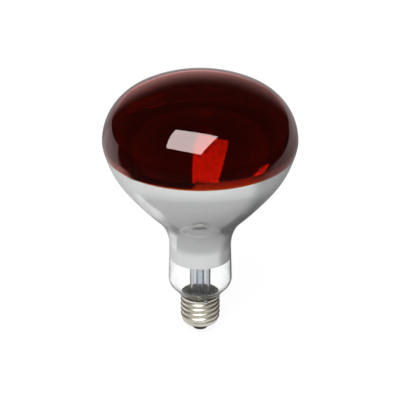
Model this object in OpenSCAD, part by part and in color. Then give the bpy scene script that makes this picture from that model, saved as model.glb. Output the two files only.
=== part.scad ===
// Infrared heat bulb with a mirrored bowl, a ruby face and a screw cap.
// The axis is Z, the tip of the centre contact is at the origin and the face points up.

/* [Bulb outline] */
// Largest diameter of the glass
bulb_d = 125; // [115:0.5:135]
// Height of the widest circle above the cap's rim
widest_h = 112; // [104:0.1:128]
// Radius of the face's crown
crown_r = 91.7; // [80:0.1:120]
// Radius of the edge that runs from the crown to the widest circle
edge_r = 34.7; // [25:0.1:45]
// Small radius just under the widest circle
under_r = 5; // [3:0.1:10]
// Slope from the vertical where the small radius runs into the bowl, in degrees
under_deg = 9; // [4:0.5:14]
// Radius of the upper bowl
bowl_r = 61.9; // [55:0.1:66]
// Slope from the vertical where the upper bowl ends, in degrees
bowl_deg = 36.8; // [33:0.1:39]
// Steepest slope of the bowl, above the throat, in degrees
throat_deg = 44.9; // [43:0.1:50]
// Hollow radius where the bowl runs into the neck
throat_r = 31.7; // [25:0.1:38]
// Diameter at the top of the neck
neck_top_d = 40.5; // [37:0.1:44]
// Diameter at the foot of the neck
neck_foot_d = 41.8; // [38:0.1:44]
// Height of the foot of the neck above the cap's rim
neck_foot_h = 12.7; // [11.5:0.1:16]
// Radius of the shoulder under the neck
shoulder_r = 8.2; // [6:0.1:10]
// Thickness of the blown glass
glass_t = 0.8; // [0.6:0.05:1.2]

/* [Coats] */
// Thickness of the mirror and of the red coat
coat_t = 0.2; // [0.1:0.05:0.3]
// Depth of the red coat's lower edge below the widest circle
red_drop = 5.5; // [2:0.1:12]
// Depth of the mirror's upper edge below the widest circle
mirror_drop = 0; // [0:0.1:6]
// Height of the mirror's lower edge above the cap's rim, in the neck
mirror_foot_h = 28.4; // [18:0.1:32]

/* [Screw cap] */
// Height of the cap's rim above the tip of the centre contact
cap_h = 26.6; // [25.5:0.1:28]
// Diameter of the thread over its crests
crest_d = 26.2; // [26:0.05:26.5]
// Diameter of the thread at its roots
root_d = 24.1; // [23.9:0.05:24.5]
// Pitch of the right-hand thread
pitch = 3.63; // [3.4:0.01:3.9]
// Diameter of the flared rim
rim_d = 26.5; // [26.2:0.05:27]
// Thickness of the shell's sheet
sheet_t = 0.25; // [0.2:0.01:0.32]
// Height of the shell's lower lip
lip_z = 6.3; // [5.5:0.1:7]
// Radius of the shell's rounded lower end
lip_r = 1.7; // [1.2:0.1:2.2]
// Depth of a crest at the front below the rim
front_crest_drop = 7.3; // [6:0.1:9]
// Height over which the thread fades at each end
fade_h = 2.4; // [1.5:0.1:3.5]
// Height of the plain band under the rim
band_h = 2.2; // [1.5:0.1:3]
// Diameter of the centre contact
contact_d = 9.6; // [8.5:0.1:11]
// Thickness of the centre contact
contact_t = 1.1; // [0.8:0.05:1.5]
// Diameter of the hole through the contact and the insulator
contact_hole_d = 2.4; // [2:0.1:3]
// How far the solder stands below the contact
solder_h = 0.6; // [0.4:0.05:0.9]
// Diameter of the solder on the contact
solder_d = 5.6; // [4.5:0.1:6.5]
// Diameter of the flat on the solder
solder_flat_d = 3; // [2:0.1:4]
// Diameter of the insulator's lower end
insulator_end_d = 11; // [10:0.1:13]
// Height of the insulator's rim inside the shell, over the rounded lower end
insulator_rim_h = 1.4; // [0.8:0.1:2]
// Radius of the dish in the insulator's upper face
dish_r = 7; // [5:0.1:8]
// Depth of the dish
dish_h = 1.2; // [0.6:0.1:1.6]
// Diameter of the side solder
side_solder_d = 3.4; // [2.8:0.1:4]
// Turn of the side solder from the front towards the right, in degrees
side_solder_turn = 16; // [0:1:45]
// Height of the cement's lower face over the sealed end
cement_rise = 1.5; // [0.6:0.1:4]
// Depth of the cement's upper face below the rim
cement_top_drop = 0.8; // [0.5:0.1:2]

/* [Stem] */
// Diameter of the sealed end of the glass inside the cap
seal_d = 21.6; // [20.5:0.1:22]
// Gap between the cap's insulator and the sealed end
seal_gap = 4.1; // [3.4:0.1:5.5]
// Hollow radius where the shoulder runs into the cap
mouth_r = 3; // [2:0.1:4]
// Outer diameter of the stem tube
stem_d = 13.6; // [13:0.1:15.5]
// Wall of the stem tube
stem_t = 1; // [0.8:0.05:1.2]
// Radius of the stem's flare
flare_r = 8; // [6:0.1:10]
// Height over which the stem flattens
press_taper_h = 8; // [6:0.5:10]
// Height of the press's top over the round tube
press_h = 13; // [11:0.5:20]
// Height of the bore's roof over the round tube
roof_h = 3.4; // [3:0.1:4]
// Thickness of the press
press_t = 4.4; // [4:0.1:5.5]
// Outer diameter of the exhaust tube
exhaust_d = 5; // [4.4:0.1:5.4]
// Wall of the exhaust tube
exhaust_t = 1; // [0.7:0.05:1.2]
// How far the exhaust tube's sealed tip reaches below the sealed end
tip_drop = 1.5; // [0:0.1:2]
// Length over which the exhaust tube narrows to its tip
tip_taper_l = 4.5; // [3:0.1:6]
// Diameter of the exhaust hole through the press
exhaust_hole_d = 2.2; // [1.6:0.1:2.6]
// Height of the exhaust hole's side mouths over the bore's roof
exhaust_side_h = 3; // [2:0.1:4]
// Diameter of the arbor rod
arbor_d = 4; // [3.5:0.1:4.6]
// Height of the button's middle over the press
button_rise = 27; // [24:0.5:32]
// Diameter of the button
button_d = 6.4; // [5.8:0.1:6.8]
// Height of the button
button_h = 4.4; // [3.6:0.1:5.5]
// Diameter of the heat deflector
deflector_d = 33; // [28:0.5:35]
// Thickness of the heat deflector
deflector_t = 0.5; // [0.3:0.05:0.8]

/* [Filament] */
// Depth of the filament below the widest circle, at the reflector's focus
focus_drop = 36.6; // [31:0.1:40]
// Height of the filament over the button's middle
filament_rise = 12; // [9:0.5:18]
// Diameter of the ring that the filament follows
ring_d = 26; // [22:0.5:30]
// Outer diameter of the filament's coil
coil_d = 2.4; // [2:0.1:3]
// Opening between the filament's two ends, in degrees
ring_gap_deg = 50; // [40:1:60]
// Diameter of a support's wire
support_d = 0.5; // [0.4:0.05:0.6]
// Depth of a support's hole in the button
support_depth = 1.4; // [1:0.1:1.8]
// Depth below the button's middle of the bend in the inner leads
lead_bend_drop = 7; // [5:0.5:12]
// Length of the straight end that holds the filament
lead_end_l = 4; // [3:0.1:6]
// Diameter of an inner lead
inner_lead_d = 1.2; // [0.9:0.05:1.4]
// Diameter of an outer lead
outer_lead_d = 0.3; // [0.25:0.05:0.4]
// Distance between the two leads in the press
lead_spacing = 9; // [8.6:0.1:10]
// Depth to which the inner leads reach into the press
lead_depth = 5; // [3:0.1:6]

/* [Hidden] */
$fn = 96;
// Clearance between pieces that are fused, cemented or coated together
seat = 0.02;
// Clearance of a wire in its hole
wire_seat = 0.03;
// Room that the side lead needs beside it where it passes the cap's rim
lead_room = 0.24;
// Supports that carry the filament
support_n = 5;
SHELL_SIDES = 40;
ROWS_PER_TURN = 8;
WIRE_SIDES = 8;
// How far from its corner a thick wire starts to bend
bend_r = 1.25;
FRONT = -90;

// Heights above the tip of the centre contact: the cap from there up
contact_top_z = solder_h + contact_t;
thread_foot_z = lip_z + lip_r;
insulator_top_z = thread_foot_z + insulator_rim_h;
dish_z = insulator_top_z - dish_h;
seal_z = insulator_top_z + seal_gap;
exhaust_tip_z = seal_z - tip_drop;
cement_foot_z = seal_z + cement_rise;
// The bulb from the cap's rim up
front_crest_z = cap_h - front_crest_drop;
band_z = cap_h - band_h;
neck_foot_z = cap_h + neck_foot_h;
mirror_foot_z = cap_h + mirror_foot_h;
widest_z = cap_h + widest_h;
red_edge_z = widest_z - red_drop;
mirror_top_z = widest_z - mirror_drop;
// The mount from the filament down: the stem's tube is as long as the cap's depth asks
filament_z = widest_z - focus_drop;
button_z = filament_z - filament_rise;
bend_z = button_z - lead_bend_drop;
press_top_z = button_z - button_rise;
press_foot_z = press_top_z - press_h;
roof_z = press_foot_z + roof_h;

bulb_r = bulb_d / 2;
seal_r = seal_d / 2;
stem_r = stem_d / 2;
stem_bore_r = stem_r - stem_t;
crest_r = crest_d / 2;
root_r = root_d / 2;
rim_r = rim_d / 2;
ring_r = ring_d / 2;
coil_r = coil_d / 2;
contact_hole_r = contact_hole_d / 2;
lead_x = lead_spacing / 2;

// Centres of the arcs of the outline, from the crown down
crown_deg = asin((bulb_r - edge_r) / (crown_r - edge_r));
top_z = widest_z + crown_r - (crown_r - edge_r) * cos(crown_deg);
crown_c = [0, top_z - crown_r];
edge_c = [bulb_r - edge_r, widest_z];
under_c = [bulb_r - under_r, widest_z];
bowl_c = on_circle(under_c, under_r - bowl_r, -under_deg);
bowl_end = on_circle(bowl_c, bowl_r, -bowl_deg);
// The lower bowl takes the radius that brings the throat to the neck's diameter
throat_drop = throat_r * (1 - cos(throat_deg));
lower_r = (bowl_end[0] - throat_drop - neck_top_d / 2) / (cos(bowl_deg) - cos(throat_deg));
lower_c = on_circle(bowl_c, bowl_r - lower_r, -bowl_deg);
throat_c = on_circle(lower_c, lower_r + throat_r, -throat_deg);
shoulder_c = [neck_foot_d / 2 - shoulder_r, neck_foot_z];
// The shoulder runs straight down to a point inside the cap's rim that leaves room for the side lead
rim_gap = outer_lead_d + lead_room;
mouth_pt = [rim_r - sheet_t - rim_gap, cap_h];
mouth_run = mouth_pt - shoulder_c;
shoulder_deg = -(atan2(mouth_run[1], mouth_run[0]) + acos(shoulder_r / norm(mouth_run)));
mouth_x = seal_r + mouth_r * (1 - cos(shoulder_deg));
mouth_start = [mouth_x, cap_h - (mouth_pt[0] - mouth_x) / tan(shoulder_deg)];
mouth_c = mouth_start + mouth_r * [cos(shoulder_deg), -sin(shoulder_deg)];

function on_circle(c, r, a) = c + r * [cos(a), sin(a)];
function arc(c, r, a0, a1, n) = [for (i = [0:n]) on_circle(c, r, a0 + (a1 - a0) * i / n)];

// The bulb's outline from the crown to the sealed end, set in by d
function outline(d) = concat(
    arc(crown_c, crown_r - d, 90, 90 - crown_deg, 10),
    arc(edge_c, edge_r - d, 90 - crown_deg, 0, 14),
    arc(under_c, under_r - d, -under_deg / 2, -under_deg, 1),
    arc(bowl_c, bowl_r - d, -under_deg, -bowl_deg, 10),
    arc(lower_c, lower_r - d, -bowl_deg, -throat_deg, 4),
    arc(throat_c, throat_r + d, 180 - throat_deg, 180, 10),
    arc(shoulder_c, shoulder_r - d, 0, -shoulder_deg, 8),
    arc(mouth_c, mouth_r + d, 180 - shoulder_deg, 180, 5),
    [[seal_r - d, seal_z]]
);
function reversed(p) = [for (i = [len(p) - 1:-1:0]) p[i]];

// A ring between two outlines, from one height to another
module layer(d_out, d_in, z0, z1) {
    rotate_extrude() intersection() {
        polygon(concat(outline(d_out), reversed(outline(d_in))));
        translate([0, z0]) square([bulb_d, z1 - z0]);
    }
}

module glass_envelope() {
    color([0.8, 0.84, 0.84, 0.35]) rotate_extrude() polygon(concat(outline(0), reversed(outline(glass_t))));
}

module mirror_coating() {
    inset = glass_t + seat;
    color("silver") layer(inset, inset + coat_t, mirror_foot_z, mirror_top_z);
}

module red_lacquer() {
    color([0.35, 0, 0, 0.8]) layer(-seat - coat_t, -seat, red_edge_z, top_z + 1);
}

// The rolled thread's depth, as arcs of one radius at crest and root; u is in turns from a crest
thread_h = crest_r - root_r;
roll_r = (pow(pitch / 4, 2) + pow(thread_h / 2, 2)) / thread_h;
function wrapped(u) = u - round(u);
function rolled(u) = let (x = abs(wrapped(u)) * pitch)
    x < pitch / 4 ? thread_h - roll_r + sqrt(roll_r * roll_r - x * x)
    : roll_r - sqrt(roll_r * roll_r - pow(pitch / 2 - x, 2));
function clamped(t) = min(1, max(0, t));
function eased(t) = (1 - cos(180 * clamped(t))) / 2;

// Radius of the shell without its thread: rounded lower end, plain body and flared rim
function plain_r(z) = z < thread_foot_z
    ? root_r - lip_r + sqrt(max(0, lip_r * lip_r - pow(thread_foot_z - z, 2)))
    : root_r + (rim_r - root_r) * eased((z - band_z) / (0.7 * band_h));
function fade(z) = eased((z - thread_foot_z) / fade_h) * eased((band_z + fade_h / 2 - z) / fade_h);
function shell_r(a, z) = max(plain_r(z), root_r * (z > thread_foot_z ? 1 : 0)
    + fade(z) * rolled((z - front_crest_z) / pitch - (a - FRONT) / 360));

lip_zs = [for (i = [0:3]) lip_z + lip_r * (1 - cos(22.5 * i))];
row_h = pitch / ROWS_PER_TURN;
row_n = round((cap_h - thread_foot_z) / row_h);
shell_zs = concat(lip_zs, [for (i = [0:row_n]) thread_foot_z + (cap_h - thread_foot_z) * i / row_n]);

function ring_pts(z, d) = [for (j = [0:SHELL_SIDES - 1])
    let (a = 360 * j / SHELL_SIDES, r = shell_r(a, z) - d)
    [r * cos(a), r * sin(a), z]];

module screw_shell() {
    n = SHELL_SIDES;
    rows = len(shell_zs);
    pts = [for (d = [0, sheet_t], z = shell_zs) each ring_pts(z, d)];
    function at(side, i, j) = (side * rows + i) * n + j % n;
    walls = [for (i = [0:rows - 2], j = [0:n - 1]) each [
        [at(0, i, j), at(0, i + 1, j), at(0, i + 1, j + 1)],
        [at(0, i, j), at(0, i + 1, j + 1), at(0, i, j + 1)],
        [at(1, i, j), at(1, i, j + 1), at(1, i + 1, j + 1)],
        [at(1, i, j), at(1, i + 1, j + 1), at(1, i + 1, j)]
    ]];
    edges = [for (j = [0:n - 1]) each [
        [at(0, 0, j), at(0, 0, j + 1), at(1, 0, j + 1)],
        [at(0, 0, j), at(1, 0, j + 1), at(1, 0, j)],
        [at(0, rows - 1, j), at(1, rows - 1, j), at(1, rows - 1, j + 1)],
        [at(0, rows - 1, j), at(1, rows - 1, j + 1), at(0, rows - 1, j + 1)]
    ]];
    color([0.72, 0.68, 0.58]) polyhedron(pts, concat(walls, edges));
}

// Radius that lies just inside the shell's flat-sided inner face
function lining_r(z) = (plain_r(z) - sheet_t) * cos(180 / SHELL_SIDES) - 2 * seat;

module cap_insulator() {
    end_r = insulator_end_d / 2;
    held = [for (i = [0:3]) let (z = lip_z + lip_r * (1 - cos(22.5 * i))) [lining_r(z), z]];
    color([0.06, 0.06, 0.07]) rotate_extrude() polygon(concat(
        [[contact_hole_r, contact_top_z + seat], [end_r - 0.6, contact_top_z + seat]],
        [[end_r, contact_top_z + 0.6], [lining_r(lip_z) - 0.1, lip_z - 0.8]],
        held,
        [[lining_r(thread_foot_z), insulator_top_z], [dish_r, insulator_top_z]],
        [[dish_r - 2, dish_z], [contact_hole_r, dish_z]]
    ));
}

module centre_contact() {
    round_r = 0.4;
    r = contact_d / 2;
    color([0.78, 0.7, 0.5]) rotate_extrude() polygon(concat(
        [[contact_hole_r, solder_h]],
        arc([r - round_r, solder_h + round_r], round_r, -90, 0, 4),
        [[r, contact_top_z], [contact_hole_r, contact_top_z]]
    ));
}

module centre_solder() {
    plug_r = contact_hole_r - seat;
    wire_r = outer_lead_d / 2 + wire_seat;
    color([0.7, 0.7, 0.72]) rotate_extrude() polygon(concat(
        [[0, 0], [solder_flat_d / 2, 0], [(solder_flat_d + solder_d) / 4, solder_h * 0.35]],
        [[solder_d / 2, solder_h - seat], [plug_r, solder_h - seat], [plug_r, contact_top_z]],
        [[wire_r, contact_top_z], [wire_r, solder_h], [0, solder_h]]
    ));
}

// The blob bridges the shell's rim and the lead that comes up beside the glass
side_solder_sink = 0.35;
module side_solder() {
    blob_r = side_solder_d / 2;
    glass_r = mouth_pt[0] + seat;
    grow = blob_r * tan(shoulder_deg);
    color([0.72, 0.72, 0.74]) rotate(FRONT + side_solder_turn) difference() {
        translate([rim_r - sheet_t, 0, cap_h - side_solder_sink]) sphere(blob_r);
        translate([0, 0, cap_h - side_solder_d]) cylinder(r = rim_r + seat, h = side_solder_d + seat);
        translate([0, 0, cap_h - blob_r])
            cylinder(r1 = glass_r - grow, r2 = glass_r + 2 * grow, h = 3 * blob_r);
        side_lead_cut();
    }
}

module cap_cement() {
    top = cap_h - cement_top_drop;
    zs = concat([cement_foot_z], [for (z = shell_zs) if (z > cement_foot_z && z < top) z], [top]);
    wall = [for (z = zs) [lining_r(min(z, zs[len(zs) - 2])), z]];
    color([0.62, 0.58, 0.5]) difference() {
        rotate_extrude() polygon(concat([[seal_r - 1, cement_foot_z]], wall, [[seal_r - 1, top]]));
        rotate_extrude() polygon(concat([[0, top_z]], outline(-seat), [[0, seal_z]]));
        rotate(FRONT + side_solder_turn) side_lead_cut();
    }
}

// Stem: flare, tube and press
flare_deg = acos(1 - (seal_r - glass_t - seat - stem_r) / flare_r);
flare_lip_h = 0.6;
flare_z = seal_z + flare_lip_h + flare_r * sin(flare_deg);
// The round tube ends inside the press's solid, which starts lap_h lower
joint_z = press_foot_z - stem_r;
lap_h = stem_t / 2;

// Side view of the stem's flattening, set in by w
module press_side(w) {
    foot = stem_r - w;
    top = press_t / 2 - w;
    steps = 8;
    curve = [for (i = [0:steps]) let (t = i / steps)
        [foot - (foot - top) * eased(t), press_foot_z + press_taper_h * t]];
    points = concat([[foot, joint_z - 3 * lap_h]], curve, [[top, press_top_z]]);
    polygon(concat(points, [for (p = reversed(points)) [-p[0], p[1]]]));
}

module stem_tube() {
    outer = concat([[seal_r - glass_t - seat, seal_z]],
        reversed(arc([stem_r + flare_r, flare_z], flare_r, 180, 180 + flare_deg, 8)));
    bore = concat(arc([stem_r + flare_r, flare_z], flare_r + stem_t, 180, 180 + flare_deg, 8),
        [[seal_r - glass_t - seat - stem_t * 1.2, seal_z]]);
    color([0.75, 0.82, 0.85, 0.5]) difference() {
        union() {
            rotate_extrude() polygon(concat(outer, [[stem_r, joint_z]], [[stem_bore_r, joint_z]], bore));
            difference() {
                intersection() {
                    translate([0, 0, joint_z - lap_h])
                        cylinder(r = stem_r, h = press_top_z - joint_z + lap_h);
                    extruded_side(0);
                }
                intersection() {
                    translate([0, 0, joint_z - 2 * lap_h])
                        cylinder(r = stem_bore_r, h = roof_z - joint_z + 2 * lap_h);
                    extruded_side(stem_t);
                }
            }
        }
        lead_holes();
        exhaust_hole();
    }
}

module extruded_side(w) {
    rotate([90, 0, 90]) translate([0, 0, -stem_d]) linear_extrude(2 * stem_d) press_side(w);
}

// The inner lead's hole is wide at the top, the outer lead's narrow hole meets it
module lead_holes() {
    inner_d = inner_lead_d + 2 * wire_seat;
    for (x = [-lead_x, lead_x]) translate([x, 0, 0]) {
        translate([0, 0, press_top_z - lead_depth]) cylinder(d = inner_d, h = lead_depth + 1);
        translate([0, 0, roof_z - 1]) cylinder(d = outer_lead_d + 2 * wire_seat, h = press_top_z - roof_z);
    }
}

module exhaust_hole() {
    side_z = roof_z + exhaust_side_h;
    translate([0, 0, roof_z - 1]) cylinder(d = exhaust_hole_d, h = side_z - roof_z + 1);
    translate([0, 0, side_z]) rotate([90, 0, 0]) cylinder(d = exhaust_hole_d, h = stem_d, center = true);
}

module exhaust_tube() {
    r = exhaust_d / 2;
    bore_r = r - exhaust_t;
    taper_z = exhaust_tip_z + tip_taper_l;
    color([0.7, 0.8, 0.86, 0.6]) rotate_extrude() polygon([
        [0, exhaust_tip_z], [r * 0.48, exhaust_tip_z + tip_taper_l * 0.09],
        [r * 0.88, exhaust_tip_z + tip_taper_l * 0.58], [r, taper_z], [r, roof_z - seat],
        [bore_r, roof_z - seat], [bore_r, taper_z + exhaust_t / 2],
        [0, taper_z - tip_taper_l / 3]
    ]);
}

module arbor_rod() {
    r = arbor_d / 2;
    b = button_d / 2;
    h = button_h / 2;
    round_r = 1.2;
    color([0.75, 0.82, 0.85, 0.5]) difference() {
        rotate_extrude() polygon(concat(
            [[0, press_top_z + seat], [r, press_top_z + seat], [r, button_z - h - 1]],
            arc([b - round_r, button_z - h + round_r], round_r, -80, 0, 4),
            arc([b - round_r, button_z + h - round_r], round_r, 0, 90, 4),
            [[0, button_z + h]]
        ));
        for (i = [1:support_n]) rotate(support_az(i)) translate([b - support_depth, 0, button_z])
            rotate([0, 90, 0]) cylinder(d = support_d + 2 * wire_seat, h = b);
    }
}

module heat_deflector() {
    foot_z = press_top_z + seat;
    color([0.75, 0.76, 0.78]) translate([0, 0, foot_z]) difference() {
        cylinder(d = deflector_d, h = deflector_t);
        translate([0, 0, -1]) cylinder(d = arbor_d + 2 * wire_seat, h = deflector_t + 2);
        for (x = [-lead_x, lead_x]) translate([x, 0, -1])
            cylinder(d = inner_lead_d + 2 * wire_seat, h = deflector_t + 2);
    }
}

// A wire swept along a path: each ring lies square to the path
function unit(v) = v / norm(v);
function tangent(p, i) = unit(p[min(i + 1, len(p) - 1)] - p[max(i - 1, 0)]);
function sides(p, u, i = 0) = i == len(p) ? [] :
    let (t = tangent(p, i), n = unit(u - (u * t) * t)) concat([n], sides(p, n, i + 1));
// Swaps each corner of a path for a curve
function curved(p, r, n = 4) = [for (i = [0:len(p) - 1]) each i == 0 || i == len(p) - 1 ? [p[i]] :
    let (a = p[i] + r * unit(p[i - 1] - p[i]), b = p[i] + r * unit(p[i + 1] - p[i]))
    [for (k = [0:n]) let (t = k / n) (1 - t) * (1 - t) * a + 2 * t * (1 - t) * p[i] + t * t * b]];

module wire(p, d, u) {
    n = WIRE_SIDES;
    ns = sides(p, u);
    pts = [for (i = [0:len(p) - 1]) let (t = tangent(p, i), v = cross(t, ns[i]))
        for (j = [0:n - 1]) let (a = 360 * j / n) p[i] + d / 2 * (cos(a) * ns[i] + sin(a) * v)];
    walls = [for (i = [0:len(p) - 2], j = [0:n - 1]) let (k = (j + 1) % n) each [
        [i * n + j, (i + 1) * n + j, (i + 1) * n + k],
        [i * n + j, (i + 1) * n + k, i * n + k]
    ]];
    last = (len(p) - 1) * n;
    polyhedron(pts, concat(walls, [[for (j = [0:n - 1]) j]], [[for (j = [n - 1:-1:0]) last + j]]));
}

// Leads: side is 1 on the right and -1 on the left
function ring_at(a, z = filament_z) = [ring_r * cos(a), ring_r * sin(a), z];
end_deg = ring_gap_deg / 2;

function inner_path(side) = let (
    a = FRONT + side * end_deg,
    t = side * [-sin(a), cos(a), 0],
    end = ring_at(a) - seat * t
) concat(
    curved([[side * lead_x, 0, press_top_z - lead_depth + seat], [side * lead_x, 0, bend_z],
        end - lead_end_l * t, end - inner_lead_d / 2 * t], bend_r),
    [end]
);

module inner_lead(side) {
    color([0.6, 0.6, 0.6]) wire(inner_path(side), inner_lead_d, [0, 1, 0]);
}
module inner_lead_left() inner_lead(-1);
module inner_lead_right() inner_lead(1);

lead_top_z = press_top_z - lead_depth - seat;
// Radius of the thin leads' bends
lead_turn_r = 0.3;
module outer_lead_centre() {
    drop = [[-lead_x, 0, lead_top_z], [-lead_x, 0, exhaust_tip_z]];
    path = concat(drop, [[0, 0, dish_z + lead_turn_r], [0, 0, solder_h + seat]]);
    color([0.7, 0.45, 0.3]) wire(curved(path, 1), outer_lead_d, [0, 1, 0]);
}

// The side lead goes out under the sealed end and up between the glass and the shell
side_lead_r = (seal_r + root_r - sheet_t) / 2;
side_lead_drop = 1.2;
under_seal_z = seal_z - side_lead_drop;
side_lead_start = seal_r - 3;
// How far it stands out of the cap
lead_out_l = 0.6;
side_az = FRONT + side_solder_turn;
function side_at(r, z) = [r * cos(side_az), r * sin(side_az), z];
// Middle of the space between the glass and the shell near the rim
function mid_r(z) = (mouth_pt[0] - (cap_h - z) * tan(shoulder_deg) + plain_r(z) - sheet_t) / 2;
flare_mid_z = cap_h - 0.6 * band_h;
function side_tail(r0) = [side_at(r0, under_seal_z), side_at(side_lead_r, under_seal_z),
    side_at(side_lead_r, band_z - lead_turn_r), side_at(mid_r(flare_mid_z), flare_mid_z),
    side_at(mid_r(cap_h), cap_h),
    side_at(mid_r(cap_h) + lead_out_l * sin(shoulder_deg), cap_h + lead_out_l * cos(shoulder_deg))];

module outer_lead_side() {
    drop = [[lead_x, 0, lead_top_z], [lead_x, 0, under_seal_z + lead_spacing / 3]];
    path = concat(drop, side_tail(side_lead_start));
    color([0.7, 0.45, 0.3]) wire(curved(path, lead_turn_r), outer_lead_d, [0, 1, 0]);
}

// Room for the side lead, drawn towards +X
module side_lead_cut() {
    path = curved(side_tail(side_lead_start), lead_turn_r);
    rotate(-side_az) wire(path, outer_lead_d + 4 * wire_seat, [0, 0, 1]);
}

function support_az(i) = FRONT + end_deg + (360 - ring_gap_deg) * i / (support_n + 1);

module filament() {
    color([0.45, 0.45, 0.47]) rotate(FRONT + end_deg) translate([0, 0, filament_z])
        rotate_extrude(angle = 360 - ring_gap_deg) translate([ring_r, 0]) circle(coil_r);
}

// Each support leaves the button, rises to the coil and hooks round it
hook_gap = 0.1;
hook_r = coil_r + support_d / 2 + hook_gap;
hook_turn = 240;
module filament_support(i) {
    foot = [button_d / 2 - support_depth + seat, button_z];
    knee = [button_d / 2 + 1, button_z];
    c = [ring_r, filament_z];
    run = c - knee;
    rise = atan2(run[1], run[0]) - asin(hook_r / norm(run));
    hook = arc(c, hook_r, rise - 90, rise - 90 + hook_turn, 12);
    flat = concat([foot], curved([foot, knee, hook[0]], 0.5), [for (k = [1:12]) hook[k]]);
    path = [for (k = [1:len(flat) - 1]) [flat[k][0], 0, flat[k][1]]];
    color([0.5, 0.5, 0.52]) rotate(support_az(i)) wire(path, support_d, [0, 1, 0]);
}
module filament_support_1() filament_support(1);
module filament_support_2() filament_support(2);
module filament_support_3() filament_support(3);
module filament_support_4() filament_support(4);
module filament_support_5() filament_support(5);

glass_envelope();
mirror_coating();
red_lacquer();
stem_tube();
exhaust_tube();
arbor_rod();
heat_deflector();
inner_lead_left();
inner_lead_right();
outer_lead_centre();
outer_lead_side();
filament();
filament_support_1();
filament_support_2();
filament_support_3();
filament_support_4();
filament_support_5();
screw_shell();
cap_insulator();
centre_contact();
centre_solder();
side_solder();
cap_cement();
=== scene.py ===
"""Looks of an infrared heat bulb: glass, mirror, ruby coat, stem, filament, screw cap and a plain studio."""
import math

import bpy
from mathutils import Matrix, Vector


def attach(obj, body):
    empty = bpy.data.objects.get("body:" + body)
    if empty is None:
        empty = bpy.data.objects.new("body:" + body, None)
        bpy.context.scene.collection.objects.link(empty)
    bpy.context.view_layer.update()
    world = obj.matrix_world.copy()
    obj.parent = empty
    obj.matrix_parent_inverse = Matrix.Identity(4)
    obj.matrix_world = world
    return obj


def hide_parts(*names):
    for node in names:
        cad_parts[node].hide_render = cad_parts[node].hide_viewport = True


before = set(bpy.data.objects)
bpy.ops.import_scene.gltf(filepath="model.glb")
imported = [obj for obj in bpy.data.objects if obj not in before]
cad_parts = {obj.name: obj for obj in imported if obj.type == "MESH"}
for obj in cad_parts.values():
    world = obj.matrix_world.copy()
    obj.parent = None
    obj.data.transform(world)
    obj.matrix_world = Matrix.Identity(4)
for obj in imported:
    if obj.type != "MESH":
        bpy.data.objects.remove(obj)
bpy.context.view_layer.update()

MM = 0.001
TURNS = 192          # steps round a turned piece
SEAT = 0.02          # clearance between pieces that touch, as in the solids

# Driving sizes in millimetres, as in the part's source
CAP_H = 26.6
WIDEST_Z = CAP_H + 112
BULB_R = 62.5
CROWN_R = 91.7
EDGE_R = 34.7
UNDER_R = 5
UNDER_DEG = 9
BOWL_R = 61.9
BOWL_DEG = 36.8
THROAT_DEG = 44.9
THROAT_R = 31.7
NECK_TOP_R = 20.25
NECK_FOOT_R = 20.9
NECK_FOOT_Z = CAP_H + 12.7
SHOULDER_R = 8.2
GLASS_T = 0.8
COAT_T = 0.2
RED_EDGE_Z = WIDEST_Z - 5.5
MIRROR_FOOT_Z = CAP_H + 28.4
SEAL_R = 10.8
SEAL_Z = CAP_H - 13.1
MOUTH_R = 3
CREST_R = 13.1
ROOT_R = 12.05
RIM_R = 13.25
SHEET_T = 0.25
PITCH = 3.63
LIP_Z = 6.3
LIP_R = 1.7
BAND_H = 2.2
FADE_H = 2.4
FRONT_CREST_Z = CAP_H - 7.3
LEAD_GAP = 0.54
FRONT = -90
RING_R = 13
RING_GAP_DEG = 50
COIL_R = 1.2
FILAMENT_Z = WIDEST_Z - 36.6


def cos(degrees):
    return math.cos(math.radians(degrees))


def sin(degrees):
    return math.sin(math.radians(degrees))


# Outline of the bulb, as a chain of arcs in the plane of radius and height
def on_circle(centre, radius, degrees):
    return (centre[0] + radius * cos(degrees), centre[1] + radius * sin(degrees))


def arc(centre, radius, start, end, steps):
    return [on_circle(centre, radius, start + (end - start) * i / steps) for i in range(steps + 1)]


def arc_centres():
    crown_deg = math.degrees(math.asin((BULB_R - EDGE_R) / (CROWN_R - EDGE_R)))
    top_z = WIDEST_Z + CROWN_R - (CROWN_R - EDGE_R) * cos(crown_deg)
    under = (BULB_R - UNDER_R, WIDEST_Z)
    bowl = on_circle(under, UNDER_R - BOWL_R, -UNDER_DEG)
    bowl_end = on_circle(bowl, BOWL_R, -BOWL_DEG)
    drop = THROAT_R * (1 - cos(THROAT_DEG))
    lower_r = (bowl_end[0] - drop - NECK_TOP_R) / (cos(BOWL_DEG) - cos(THROAT_DEG))
    lower = on_circle(bowl, BOWL_R - lower_r, -BOWL_DEG)
    throat = on_circle(lower, lower_r + THROAT_R, -THROAT_DEG)
    shoulder = (NECK_FOOT_R - SHOULDER_R, NECK_FOOT_Z)
    mouth_pt = (RIM_R - SHEET_T - LEAD_GAP, CAP_H)
    run = (mouth_pt[0] - shoulder[0], mouth_pt[1] - shoulder[1])
    reach = math.hypot(run[0], run[1])
    shoulder_deg = -(math.degrees(math.atan2(run[1], run[0])) + math.degrees(math.acos(SHOULDER_R / reach)))
    mouth_x = SEAL_R + MOUTH_R * (1 - cos(shoulder_deg))
    mouth_z = CAP_H - (mouth_pt[0] - mouth_x) / math.tan(math.radians(shoulder_deg))
    mouth = (mouth_x + MOUTH_R * cos(shoulder_deg), mouth_z - MOUTH_R * sin(shoulder_deg))
    return {
        "crown_deg": crown_deg, "top_z": top_z,
        "crown": (0, top_z - CROWN_R), "edge": (BULB_R - EDGE_R, WIDEST_Z),
        "under": under, "bowl": bowl, "lower": lower, "lower_r": lower_r, "throat": throat,
        "shoulder": shoulder, "shoulder_deg": shoulder_deg, "mouth": mouth,
    }


ARCS = arc_centres()
TOP_Z = ARCS["top_z"]


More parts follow.
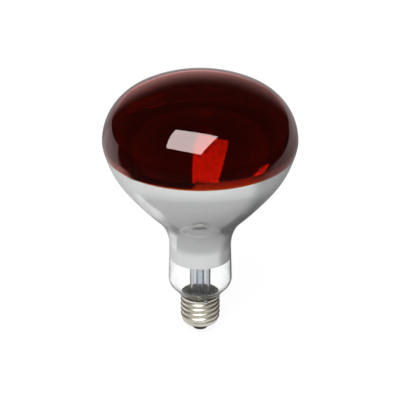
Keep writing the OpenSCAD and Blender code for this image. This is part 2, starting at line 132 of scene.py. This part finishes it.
def outline(inset):
    """The bulb's outline from the crown to the sealed end, set in by inset."""
    a = ARCS
    chain = arc(a["crown"], CROWN_R - inset, 90, 90 - a["crown_deg"], 24)
    chain += arc(a["edge"], EDGE_R - inset, 90 - a["crown_deg"], 0, 32)[1:]
    chain += arc(a["under"], UNDER_R - inset, 0, -UNDER_DEG, 6)[1:]
    chain += arc(a["bowl"], BOWL_R - inset, -UNDER_DEG, -BOWL_DEG, 24)[1:]
    chain += arc(a["lower"], a["lower_r"] - inset, -BOWL_DEG, -THROAT_DEG, 14)[1:]
    chain += arc(a["throat"], THROAT_R + inset, 180 - THROAT_DEG, 180, 24)[1:]
    (top_r, top_z), foot_r = chain[-1], NECK_FOOT_R - inset
    for i in range(1, 9):
        t = i / 9
        chain.append((top_r + (foot_r - top_r) * t, top_z + (NECK_FOOT_Z - top_z) * t))
    chain += arc(a["shoulder"], SHOULDER_R - inset, 0, -a["shoulder_deg"], 16)
    chain += arc(a["mouth"], MOUTH_R + inset, 180 - a["shoulder_deg"], 180, 10)
    chain.append((SEAL_R - inset, SEAL_Z))
    return chain


def between(points, low, high):
    """The stretch of an outline between two heights, cut where it crosses them."""
    kept = []
    for (r0, z0), (r1, z1) in zip(points, points[1:]):
        if z1 > high or z0 < low or z0 == z1:
            continue
        for z in (min(z0, high), max(z1, low)):
            t = (z0 - z) / (z0 - z1)
            p = (r0 + (r1 - r0) * t, z)
            if not kept or math.dist(kept[-1], p) > 1e-6:
                kept.append(p)
    return kept


# Mesh makers
def mesh_object(name, verts, faces, material, smooth=True):
    mesh = bpy.data.meshes.new(name)
    mesh.from_pydata(verts, [], faces)
    mesh.validate()
    for face in mesh.polygons:
        face.use_smooth = smooth
    mesh.materials.append(material)
    obj = bpy.data.objects.new(name, mesh)
    bpy.context.scene.collection.objects.link(obj)
    return obj


def turned(name, loop, material, turns=TURNS, closed=True):
    """Turns a profile of (radius, height) points round Z. Points on the axis become one vertex."""
    verts, rows = [], []
    for r, z in loop:
        if r < 1e-6:
            rows.append([len(verts)])
            verts.append((0, 0, z * MM))
        else:
            rows.append(list(range(len(verts), len(verts) + turns)))
            for j in range(turns):
                a = 360 * j / turns
                verts.append((r * cos(a) * MM, r * sin(a) * MM, z * MM))
    faces = []
    pairs = list(zip(rows, rows[1:]))
    if closed:
        pairs.append((rows[-1], rows[0]))
    for up, down in pairs:
        if len(up) == 1 and len(down) == 1:
            continue
        for j in range(turns):
            k = (j + 1) % turns
            if len(up) == 1:
                faces.append((up[0], down[j], down[k]))
            elif len(down) == 1:
                faces.append((up[j], down[0], up[k]))
            else:
                faces.append((up[j], down[j], down[k], up[k]))
    return mesh_object(name, verts, faces, material)


def sharp_by_angle(obj, degrees=35):
    """Marks the piece's hard edges, so that smooth shading stops there."""
    mesh = obj.data
    limit = math.cos(math.radians(degrees))
    edge_faces = {}
    for face in mesh.polygons:
        for key in face.edge_keys:
            edge_faces.setdefault(key, []).append(face.normal)
    for edge in mesh.edges:
        normals = edge_faces.get(edge.key, [])
        edge.use_edge_sharp = len(normals) == 2 and normals[0].dot(normals[1]) < limit
    return obj


def tube(name, points, radius, material, sides=16):
    """A round wire through the points, in millimetres."""
    curve = bpy.data.curves.new(name, "CURVE")
    curve.dimensions = "3D"
    spline = curve.splines.new("POLY")
    spline.points.add(len(points) - 1)
    for slot, p in zip(spline.points, points):
        slot.co = (p[0] * MM, p[1] * MM, p[2] * MM, 1)
    curve.bevel_depth = radius * MM
    curve.bevel_resolution = sides // 4
    curve.use_fill_caps = True
    obj = bpy.data.objects.new(name + "_path", curve)
    bpy.context.scene.collection.objects.link(obj)
    mesh = bpy.data.meshes.new_from_object(obj.evaluated_get(bpy.context.evaluated_depsgraph_get()))
    bpy.data.objects.remove(obj)
    mesh.name = name
    mesh.materials.clear()
    mesh.materials.append(material)
    for face in mesh.polygons:
        face.use_smooth = True
    made = bpy.data.objects.new(name, mesh)
    bpy.context.scene.collection.objects.link(made)
    return made


def place(obj, slot, *nodes):
    """Fixes a piece to the body and hides the solids it stands for."""
    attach(obj, "root")
    if nodes:
        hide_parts(*nodes)
    return obj


# Materials
class Paint:
    """A node material with a Principled shader and short ways to add to it."""

    def __init__(self, name, color, rough, metal=0.0, ior=1.5, clear=0.0):
        self.material = bpy.data.materials.new(name)
        self.material.use_nodes = True
        self.nodes = self.material.node_tree.nodes
        self.links = self.material.node_tree.links
        self.shader = self.nodes["Principled BSDF"]
        self.set("Base Color", (*color, 1))
        self.set("Roughness", rough)
        self.set("Metallic", metal)
        self.set("IOR", ior)
        self.set("Transmission Weight", clear)

    def set(self, socket, value):
        self.shader.inputs[socket].default_value = value

    def node(self, kind, **settings):
        node = self.nodes.new("ShaderNode" + kind)
        for key, value in settings.items():
            setattr(node, key, value)
        return node

    def place_coords(self):
        return self.node("TexCoord").outputs["Object"]

    def noise(self, scale, detail=3.0, stretch=(1, 1, 1)):
        mapping = self.node("Mapping")
        mapping.inputs["Scale"].default_value = stretch
        self.links.new(self.place_coords(), mapping.inputs["Vector"])
        noise = self.node("TexNoise")
        noise.inputs["Scale"].default_value = scale
        noise.inputs["Detail"].default_value = detail
        self.links.new(mapping.outputs["Vector"], noise.inputs["Vector"])
        return noise.outputs["Fac"]

    def ramp(self, value, low, high, color_low, color_high):
        """Blends two colours as value goes from low to high."""
        span = self.node("MapRange", interpolation_type="SMOOTHSTEP")
        span.inputs["From Min"].default_value = low
        span.inputs["From Max"].default_value = high
        self.links.new(value, span.inputs["Value"])
        mix = self.node("Mix", data_type="RGBA")
        mix.inputs["A"].default_value = (*color_low, 1)
        mix.inputs["B"].default_value = (*color_high, 1)
        self.links.new(span.outputs["Result"], mix.inputs["Factor"])
        return mix.outputs["Result"]

    def vary_roughness(self, value, low, high):
        span = self.node("MapRange")
        span.inputs["To Min"].default_value = low
        span.inputs["To Max"].default_value = high
        self.links.new(value, span.inputs["Value"])
        self.links.new(span.outputs["Result"], self.shader.inputs["Roughness"])

    def bump(self, value, strength, distance):
        bump = self.node("Bump")
        bump.inputs["Strength"].default_value = strength
        bump.inputs["Distance"].default_value = distance
        self.links.new(value, bump.inputs["Height"])
        self.links.new(bump.outputs["Normal"], self.shader.inputs["Normal"])

    def height(self):
        split = self.node("SeparateXYZ")
        self.links.new(self.place_coords(), split.inputs["Vector"])
        return split.outputs["Z"]


def clear_glass():
    p = Paint("clear_glass", (0.995, 1.0, 0.998), 0.0, ior=1.5, clear=1.0)
    p.bump(p.noise(16, 1), 0.2, 0.0001)
    return p.material


def stem_glass():
    p = Paint("stem_glass", (0.92, 0.945, 0.98), 0.12, ior=1.5, clear=1.0)
    p.bump(p.noise(90, 2, (1, 1, 0.1)), 0.35, 0.0002)
    return p.material


def mirror_film():
    p = Paint("mirror_film", (0.9, 0.91, 0.9), 0.05, metal=1.0)
    p.vary_roughness(p.noise(30, 4), 0.03, 0.06)
    p.bump(p.noise(9, 1), 0.2, 0.0002)
    return p.material


def ruby_coat():
    p = Paint("ruby_coat", (0.22, 0.03, 0.01), 0.01, ior=1.52, clear=0.99)
    # the coat is thinnest at its lower edge and thickest over the crown
    edge, side, crown = (0.62, 0.1, 0.015), (0.34, 0.03, 0.008), (0.2, 0.02, 0.004)
    height = p.height()
    upper = p.ramp(height, (WIDEST_Z + 2) * MM, (TOP_Z - 10) * MM, side, crown)
    color = p.ramp(height, (RED_EDGE_Z + 1) * MM, (WIDEST_Z + 3) * MM, edge, side)
    p.links.new(upper, color.node.inputs["B"])
    p.links.new(color, p.shader.inputs["Base Color"])
    p.bump(p.noise(30, 1), 0.02, 0.00005)
    return p.material


def metal(name, dark, light, rough_low, rough_high, grain=120, bump=0.0001, metal_share=1.0):
    p = Paint(name, light, rough_low, metal=metal_share)
    value = p.noise(grain, 4)
    p.links.new(p.ramp(value, 0.35, 0.7, dark, light), p.shader.inputs["Base Color"])
    p.vary_roughness(value, rough_low, rough_high)
    p.bump(value, 0.3, bump)
    return p.material


def solid(name, dark, light, rough, grain=200, bump=0.0001, coat=0.0, stretch=(1, 1, 1)):
    p = Paint(name, light, rough)
    value = p.noise(grain, 5, stretch)
    p.links.new(p.ramp(value, 0.35, 0.7, dark, light), p.shader.inputs["Base Color"])
    p.set("Coat Weight", coat)
    p.bump(value, 0.4, bump)
    return p.material


GLASS = clear_glass()
STEM = stem_glass()
MIRROR = mirror_film()
RUBY = ruby_coat()
NICKEL_WIRE = metal("lead_metal", (0.45, 0.44, 0.42), (0.62, 0.61, 0.58), 0.25, 0.4)
COPPER = metal("copper_wire", (0.6, 0.32, 0.2), (0.78, 0.46, 0.3), 0.25, 0.4)
TUNGSTEN = metal("tungsten", (0.12, 0.12, 0.13), (0.25, 0.25, 0.26), 0.35, 0.55)
DEFLECTOR = metal("deflector_metal", (0.62, 0.62, 0.63), (0.78, 0.78, 0.78), 0.2, 0.35)
SHELL = metal("shell_metal", (0.72, 0.68, 0.56), (0.93, 0.91, 0.84), 0.3, 0.44, 70, 0.0001, 0.9)
# the centre contact's colour is darkened partly as tarnish and partly as painted shade
SHADED_TARNISHED_CONTACT = metal("contact_metal", (0.14, 0.13, 0.12), (0.3, 0.29, 0.27), 0.35, 0.5)
SOLDER = metal("solder", (0.5, 0.5, 0.51), (0.72, 0.72, 0.73), 0.2, 0.4, 150, 0.0003)
INSULATOR = solid("black_glass", (0.006, 0.006, 0.007), (0.014, 0.014, 0.016), 0.18, 80, 0.00005, 0.6)
CEMENT = solid("cement", (0.02, 0.02, 0.01), (0.8, 0.66, 0.28), 0.5, 260, 0.0005, 0.0, (1, 1, 0.15))


# Pieces of the bulb
def make_glass():
    loop = outline(0) + list(reversed(outline(GLASS_T)))
    place(sharp_by_angle(turned("bulb_glass", loop, GLASS)), "clear_glass", "glass_envelope")


def make_mirror():
    inset = GLASS_T + SEAT
    outer = between(outline(inset), MIRROR_FOOT_Z, WIDEST_Z)
    inner = between(outline(inset + COAT_T), MIRROR_FOOT_Z, WIDEST_Z)
    loop = outer + list(reversed(inner))
    place(sharp_by_angle(turned("mirror", loop, MIRROR)), "mirror_film", "mirror_coating")


def make_ruby():
    outer = between(outline(-SEAT - COAT_T), RED_EDGE_Z, TOP_Z + 5)
    inner = between(outline(-SEAT), RED_EDGE_Z, TOP_Z + 5)
    loop = outer + list(reversed(inner))
    place(sharp_by_angle(turned("ruby_face", loop, RUBY)), "ruby_coat", "red_lacquer")


def make_filament():
    """A helix of tungsten wire whose outer diameter is the solid's."""
    wire_r = 0.2
    coil_turns = 52
    per_turn = 14
    sweep = 360 - RING_GAP_DEG
    points = []
    for i in range(coil_turns * per_turn + 1):
        t = i / (coil_turns * per_turn)
        a = FRONT + RING_GAP_DEG / 2 + sweep * t
        b = 360 * coil_turns * t
        r = RING_R + (COIL_R - wire_r) * cos(b)
        points.append((r * cos(a), r * sin(a), FILAMENT_Z + (COIL_R - wire_r) * sin(b)))
    place(tube("filament_coil", points, wire_r, TUNGSTEN, 8), "tungsten", "filament")


# Screw shell with its rolled thread
THREAD_H = CREST_R - ROOT_R
ROLL_R = ((PITCH / 4) ** 2 + (THREAD_H / 2) ** 2) / THREAD_H
THREAD_FOOT_Z = LIP_Z + LIP_R
BAND_Z = CAP_H - BAND_H


def eased(t):
    return (1 - cos(180 * min(1, max(0, t)))) / 2


def rolled(turns):
    """Depth of the thread at so many turns from a crest: arcs of one radius at crest and root."""
    x = abs(turns - round(turns)) * PITCH
    if x < PITCH / 4:
        return THREAD_H - ROLL_R + math.sqrt(ROLL_R ** 2 - x * x)
    return ROLL_R - math.sqrt(ROLL_R ** 2 - (PITCH / 2 - x) ** 2)


def plain_r(z):
    if z < THREAD_FOOT_Z:
        return ROOT_R - LIP_R + math.sqrt(max(0, LIP_R ** 2 - (THREAD_FOOT_Z - z) ** 2))
    return ROOT_R + (RIM_R - ROOT_R) * eased((z - BAND_Z) / (0.7 * BAND_H))


def shell_r(angle, z):
    fade = eased((z - THREAD_FOOT_Z) / FADE_H) * eased((BAND_Z + FADE_H / 2 - z) / FADE_H)
    threaded = ROOT_R + fade * rolled((z - FRONT_CREST_Z) / PITCH - (angle - FRONT) / 360)
    return max(plain_r(z), threaded if z > THREAD_FOOT_Z else 0)


def make_shell():
    sides = 144
    heights = [LIP_Z + LIP_R * (1 - cos(15 * i)) for i in range(6)]
    rows = 120
    heights += [THREAD_FOOT_Z + (CAP_H - THREAD_FOOT_Z) * i / rows for i in range(rows + 1)]
    verts = []
    for inset in (0, SHEET_T):
        for z in heights:
            for j in range(sides):
                a = 360 * j / sides
                r = (shell_r(a, z) - inset) * MM
                verts.append((r * cos(a), r * sin(a), z * MM))
    count = len(heights)
    faces = []
    for i in range(count - 1):
        for j in range(sides):
            k = (j + 1) % sides
            out, inn = i * sides, (count + i) * sides
            faces.append((out + j, out + k, out + sides + k, out + sides + j))
            faces.append((inn + j, inn + sides + j, inn + sides + k, inn + k))
    top, bottom = (count - 1) * sides, 0
    for j in range(sides):
        k = (j + 1) % sides
        inner = count * sides
        faces.append((bottom + j, inner + j, inner + k, bottom + k))
        faces.append((top + j, top + k, inner + top + k, inner + top + j))
    shell = mesh_object("screw_shell_rolled", verts, faces, SHELL)
    place(sharp_by_angle(shell, 50), "shell_metal", "screw_shell")


CARRIED = {
    "stem_tube": STEM, "exhaust_tube": STEM, "arbor_rod": STEM, "heat_deflector": DEFLECTOR,
    "inner_lead_left": NICKEL_WIRE, "inner_lead_right": NICKEL_WIRE,
    "outer_lead_centre": COPPER, "outer_lead_side": COPPER,
    "cap_insulator": INSULATOR, "centre_contact": SHADED_TARNISHED_CONTACT, "centre_solder": SOLDER,
    "side_solder": SOLDER, "cap_cement": CEMENT,
}


def dress_solids():
    for i in range(1, 6):
        CARRIED["filament_support_%d" % i] = NICKEL_WIRE
    for name, material in CARRIED.items():
        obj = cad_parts[name]
        obj.data.materials.clear()
        obj.data.materials.append(material)


# Studio: floor, soft box, world and camera
# The bulb mirrors a sheet of bright paper that it stands on, its edges given as points in metres
PAPER_DISC = (-0.008, 0.004, 0.168)                  # lit all round this point, as far as the third number
PAPER_FRONT = ((-0.027, -0.169), (0.075, -0.42))     # front edge: the paper lies right of it
PAPER_SIDE = ((-0.44, 0.085), (-1.394, 0.385))       # left edge: the paper lies behind it
PAPER_RIGHT = ((0.085, -0.45), (0.62, 0.12))         # right edge: the paper lies left of it
GROUND_TONE = 0.02
ROOM_TONE = 0.012                    # dim room, mirrored on the outside
ROOM_TONE_INSIDE = 0.3               # and mirrored through the glass
ROOM_TINT = (2.1, 1.0, 0.94)         # colour of the room, mirrored on the outside
FLOOR_TINT = (1.15, 0.92, 0.97)      # and of the glow of the floor farther off
WHITE = 0.93                         # the floor's glow to the camera, and its own colour under the lamps
FLOOR_COLOR = 0.1
WHITE_BEHIND_GLASS = 1.05            # what shows through two walls of glass, which take some light away
TWO_WALLS = 5.5                      # transmissions above this mean more than two walls
BACKDROP_NEAR = 0.8                  # what shows through more than two walls, close by
BACKDROP_FAR = 0.11                  # and farther behind the bulb


class Graph:
    """Short ways to build sums of nodes for a material or the world."""

    def __init__(self, tree):
        self.nodes, self.links = tree.nodes, tree.links
        self.nodes.clear()

    def node(self, kind, **settings):
        node = self.nodes.new("ShaderNode" + kind)
        for key, value in settings.items():
            setattr(node, key, value)
        return node

    def put(self, socket, value):
        if isinstance(value, (int, float)):
            socket.default_value = value
        else:
            self.links.new(value, socket)

    def math(self, operation, a, b=0.0):
        node = self.node("Math", operation=operation)
        self.put(node.inputs[0], a)
        self.put(node.inputs[1], b)
        return node.outputs["Value"]

    def times(self, *values):
        total = values[0]
        for value in values[1:]:
            total = self.math("MULTIPLY", total, value)
        return total

    def span(self, value, low, high, to_low=0.0, to_high=1.0):
        """Eases from to_low to to_high as value goes from low to high."""
        node = self.node("MapRange", interpolation_type="SMOOTHSTEP")
        for name, number in (("Value", value), ("From Min", low), ("From Max", high),
                             ("To Min", to_low), ("To Max", to_high)):
            self.put(node.inputs[name], number)
        return node.outputs["Result"]

    def choose(self, switch, off, on):
        node = self.node("Mix", data_type="FLOAT")
        self.put(node.inputs["Factor"], switch)
        self.put(node.inputs["A"], off)
        self.put(node.inputs["B"], on)
        return node.outputs["Result"]

    def tinted(self, switch, tint):
        """White, and tint where switch is 1."""
        node = self.node("Mix", data_type="RGBA")
        self.put(node.inputs["Factor"], switch)
        node.inputs["A"].default_value = (1, 1, 1, 1)
        node.inputs["B"].default_value = (*tint, 1)
        return node.outputs["Result"]

    def split(self, vector):
        node = self.node("SeparateXYZ")
        self.links.new(vector, node.inputs["Vector"])
        return node.outputs

    def left_of(self, place, line, soft):
        """1 on the left of a line on the floor, seen from above and along it, and 0 on its right."""
        (x0, y0), (x1, y1) = line
        size = math.hypot(x1 - x0, y1 - y0)
        nx, ny = -(y1 - y0) / size, (x1 - x0) / size
        offset = nx * x0 + ny * y0
        reach = self.math("ADD", self.math("MULTIPLY", place[0], nx), self.math("MULTIPLY", place[1], ny))
        return self.span(reach, offset - soft, offset + soft)

    def from_point(self, place, x, y):
        dx, dy = self.math("SUBTRACT", place[0], x), self.math("SUBTRACT", place[1], y)
        return self.math("SQRT", self.math("ADD", self.times(dx, dx), self.times(dy, dy)))

    def backdrop(self, path, beyond):
        """A little over white through two walls of glass, and the value of beyond through more."""
        more = self.math("GREATER_THAN", path["Transmission Depth"], TWO_WALLS)
        return self.choose(more, WHITE_BEHIND_GLASS, beyond)

    def seen_straight(self, path):
        """1 for what the camera sees, also through clear glass, and 0 for what a surface mirrors."""
        unmirrored = self.math("LESS_THAN", path["Glossy Depth"], 0.5)
        through = self.times(path["Is Transmission Ray"], unmirrored)
        return self.math("MAXIMUM", path["Is Camera Ray"], through)


def floor_material():
    """White to the camera. Glass and metal mirror bright paper, shaded by the bulb, on dark ground."""
    material = bpy.data.materials.new("studio_floor")
    material.use_nodes = True
    g = Graph(material.node_tree)
    path = g.node("LightPath").outputs
    place = g.split(g.node("TexCoord").outputs["Object"])
    radius = g.from_point(place, 0, 0)
    # shape of the paper
    disc_x, disc_y, disc_r = PAPER_DISC
    disc = g.span(g.from_point(place, disc_x, disc_y), disc_r - 0.004, disc_r + 0.004, 1.0, 0.0)
    front = g.left_of(place, PAPER_FRONT, 0.006)
    side = g.left_of(place, (PAPER_SIDE[1], PAPER_SIDE[0]), 0.04)
    right = g.left_of(place, PAPER_RIGHT, 0.05)
    paper = g.math("MAXIMUM", disc, g.times(g.math("MAXIMUM", front, side), right))
    # shade under the bulb, and its shadow behind and on the right, away from the soft box
    shade = g.span(radius, 0.07, 0.14, 0.27, 0.43)
    contact = g.span(radius, 0.006, 0.02, 0.6, 1.0)
    width = g.times(g.span(place[0], -0.048, -0.036), g.span(place[0], 0.054, 0.07, 1.0, 0.0))
    depth = g.times(g.span(place[1], 0.018, 0.03), g.span(place[1], 0.056, 0.075, 1.0, 0.0))
    shadow = g.choose(g.times(width, depth), 1.0, 0.65)
    dusk = g.span(g.math("ADD", place[0], place[1]), 0.05, 0.14, 1.0, 0.55)
    # painted light: a brighter stretch with crisp edges behind on the left
    behind = g.times(g.span(place[1], 0.008, 0.02), g.span(place[0], -0.062, -0.048, 1.0, 0.0))
    behind = g.choose(g.times(behind, g.span(radius, 0.1, 0.13, 1.0, 0.0)), 1.0, 1.6)
    # painted reflection: for what the outside of the cap and of the glass mirrors, the floor's tone is made
    # brighter close by and dimmer in front
    outside = g.math("SUBTRACT", 1.0, path["Is Transmission Ray"])
    close = g.span(radius, 0.07, 0.1, 2.3, 1.0)
    in_front = g.times(g.span(radius, 0.1, 0.14), g.span(place[1], -0.1, 0.0, 1.0, 0.0))
    seen_outside = g.choose(outside, 1.0, g.times(close, g.choose(in_front, 1.0, 0.08)))
    tone = g.times(shade, contact, shadow, dusk, behind, seen_outside)
    tone = g.choose(paper, GROUND_TONE, tone)
    lit = g.node("BsdfDiffuse")
    g.links.new(tone, lit.inputs["Color"])
    far = g.node("Emission")
    g.links.new(g.tinted(outside, FLOOR_TINT), far.inputs["Color"])
    g.links.new(g.times(paper, g.span(radius, 0.2, 0.9, 0.0, 0.3)), far.inputs["Strength"])
    mirrored = g.node("AddShader")
    g.links.new(lit.outputs["BSDF"], mirrored.inputs[0])
    g.links.new(far.outputs["Emission"], mirrored.inputs[1])
    # what the camera sees: white, but dimmer through more than two walls of glass
    beyond = g.span(radius, 0.2, 0.24, BACKDROP_NEAR, BACKDROP_FAR)
    glow = g.node("Emission")
    strength = g.choose(path["Is Transmission Ray"], WHITE, g.backdrop(path, beyond))
    g.links.new(strength, glow.inputs["Strength"])
    pale = g.node("BsdfDiffuse")
    pale.inputs["Color"].default_value = (FLOOR_COLOR, FLOOR_COLOR, FLOOR_COLOR, 1)
    white = g.node("AddShader")
    g.links.new(glow.outputs["Emission"], white.inputs[0])
    g.links.new(pale.outputs["BSDF"], white.inputs[1])
    mix = g.node("MixShader")
    g.links.new(g.seen_straight(path), mix.inputs["Fac"])
    g.links.new(mirrored.outputs["Shader"], mix.inputs[1])
    g.links.new(white.outputs["Shader"], mix.inputs[2])
    g.links.new(mix.outputs["Shader"], g.node("OutputMaterial").inputs["Surface"])
    return material


def make_floor():
    reach = 6.0
    mesh = bpy.data.meshes.new("floor")
    mesh.from_pydata([(-reach, -reach, 0), (reach, -reach, 0), (reach, reach, 0), (-reach, reach, 0)],
                     [], [(0, 1, 2, 3)])
    mesh.materials.append(floor_material())
    floor = bpy.data.objects.new("floor", mesh)
    bpy.context.scene.collection.objects.link(floor)
    floor.location.z = -0.0005       # just clear of the contact


def make_world():
    """White to the camera. Mirrored in the bulb it is a dim tinted room with a pale wall low behind it."""
    world = bpy.data.worlds.new("studio_world")
    bpy.context.scene.world = world
    world.use_nodes = True
    g = Graph(world.node_tree)
    path = g.node("LightPath").outputs
    x, y, z = g.split(g.node("TexCoord").outputs["Generated"])
    wall = g.math("ADD", g.span(z, 0.0, 0.6, 0.48, 0.0), g.span(z, 0.01, 0.06, 0.34, 0.0))
    wall = g.times(wall, g.span(y, 0.77, 0.95), g.span(x, 0.0, 0.25, 1.0, 0.5))
    wall = g.times(wall, g.choose(path["Is Transmission Ray"], 1.0, 0.35))
    mirrored = g.math("ADD", wall, g.choose(path["Is Transmission Ray"], ROOM_TONE, ROOM_TONE_INSIDE))
    overhead = g.span(z, 0.55, 0.9, 0.12, 1.3)
    tone = g.choose(path["Is Diffuse Ray"], mirrored, overhead)
    background = g.node("Background")
    outside = g.math("SUBTRACT", path["Is Glossy Ray"], path["Is Transmission Ray"])
    g.links.new(g.tinted(g.math("MAXIMUM", outside, 0.0), ROOM_TINT), background.inputs["Color"])
    straight = g.choose(path["Is Camera Ray"], g.backdrop(path, BACKDROP_FAR), 1.0)
    g.links.new(g.choose(g.seen_straight(path), tone, straight), background.inputs["Strength"])
    g.links.new(background.outputs["Background"], g.node("OutputWorld").inputs["Surface"])


def area_light(name, centre, along, across, watts, color=(1, 1, 1)):
    """A rectangular lamp: along and across are its edge vectors in metres, facing the bulb."""
    data = bpy.data.lights.new(name, "AREA")
    data.shape = "RECTANGLE"
    along, across = Vector(along), Vector(across)
    data.size, data.size_y = along.length, across.length
    data.energy = watts
    data.color = color
    x = along.normalized()
    y = (across - x * across.dot(x)).normalized()
    z = x.cross(y)
    if z.dot(Vector(centre)) < 0:
        y, z = -y, -z
    lamp = bpy.data.objects.new(name, data)
    lamp.matrix_world = Matrix.Translation(centre) @ Matrix((x, y, z)).transposed().to_4x4()
    bpy.context.scene.collection.objects.link(lamp)


def make_lights():
    centre, along, across = (-0.16, -0.465, 0.92), (0.61, -0.27, -0.06), (-0.32, -0.49, -0.36)
    area_light("soft_box", centre, along, across, watts=14)


def make_camera():
    """The photo's view: 27 degrees above the bulb, far off with a long lens."""
    elevation = 26.99
    distance = 1.20966
    aim = Vector((0, 0, 0.0956))
    frame_px = 400
    focal_px = 1864.15
    axis_px = -0.2       # the axis stands a fifth of a pixel right of the frame's middle
    data = bpy.data.cameras.new("camera")
    data.sensor_width = 36
    data.lens = data.sensor_width * focal_px / frame_px
    data.clip_start = 0.01
    data.shift_x = axis_px / frame_px
    camera = bpy.data.objects.new("camera", data)
    camera.location = aim + distance * Vector((0, -cos(elevation), sin(elevation)))
    camera.rotation_euler = (math.radians(90 - elevation), 0, 0)
    bpy.context.scene.collection.objects.link(camera)
    bpy.context.scene.camera = camera


make_camera()
make_glass()
make_mirror()
make_ruby()
make_filament()
make_shell()
dress_solids()
make_floor()
make_world()
make_lights()
bpy.context.scene.view_settings.view_transform = "Standard"
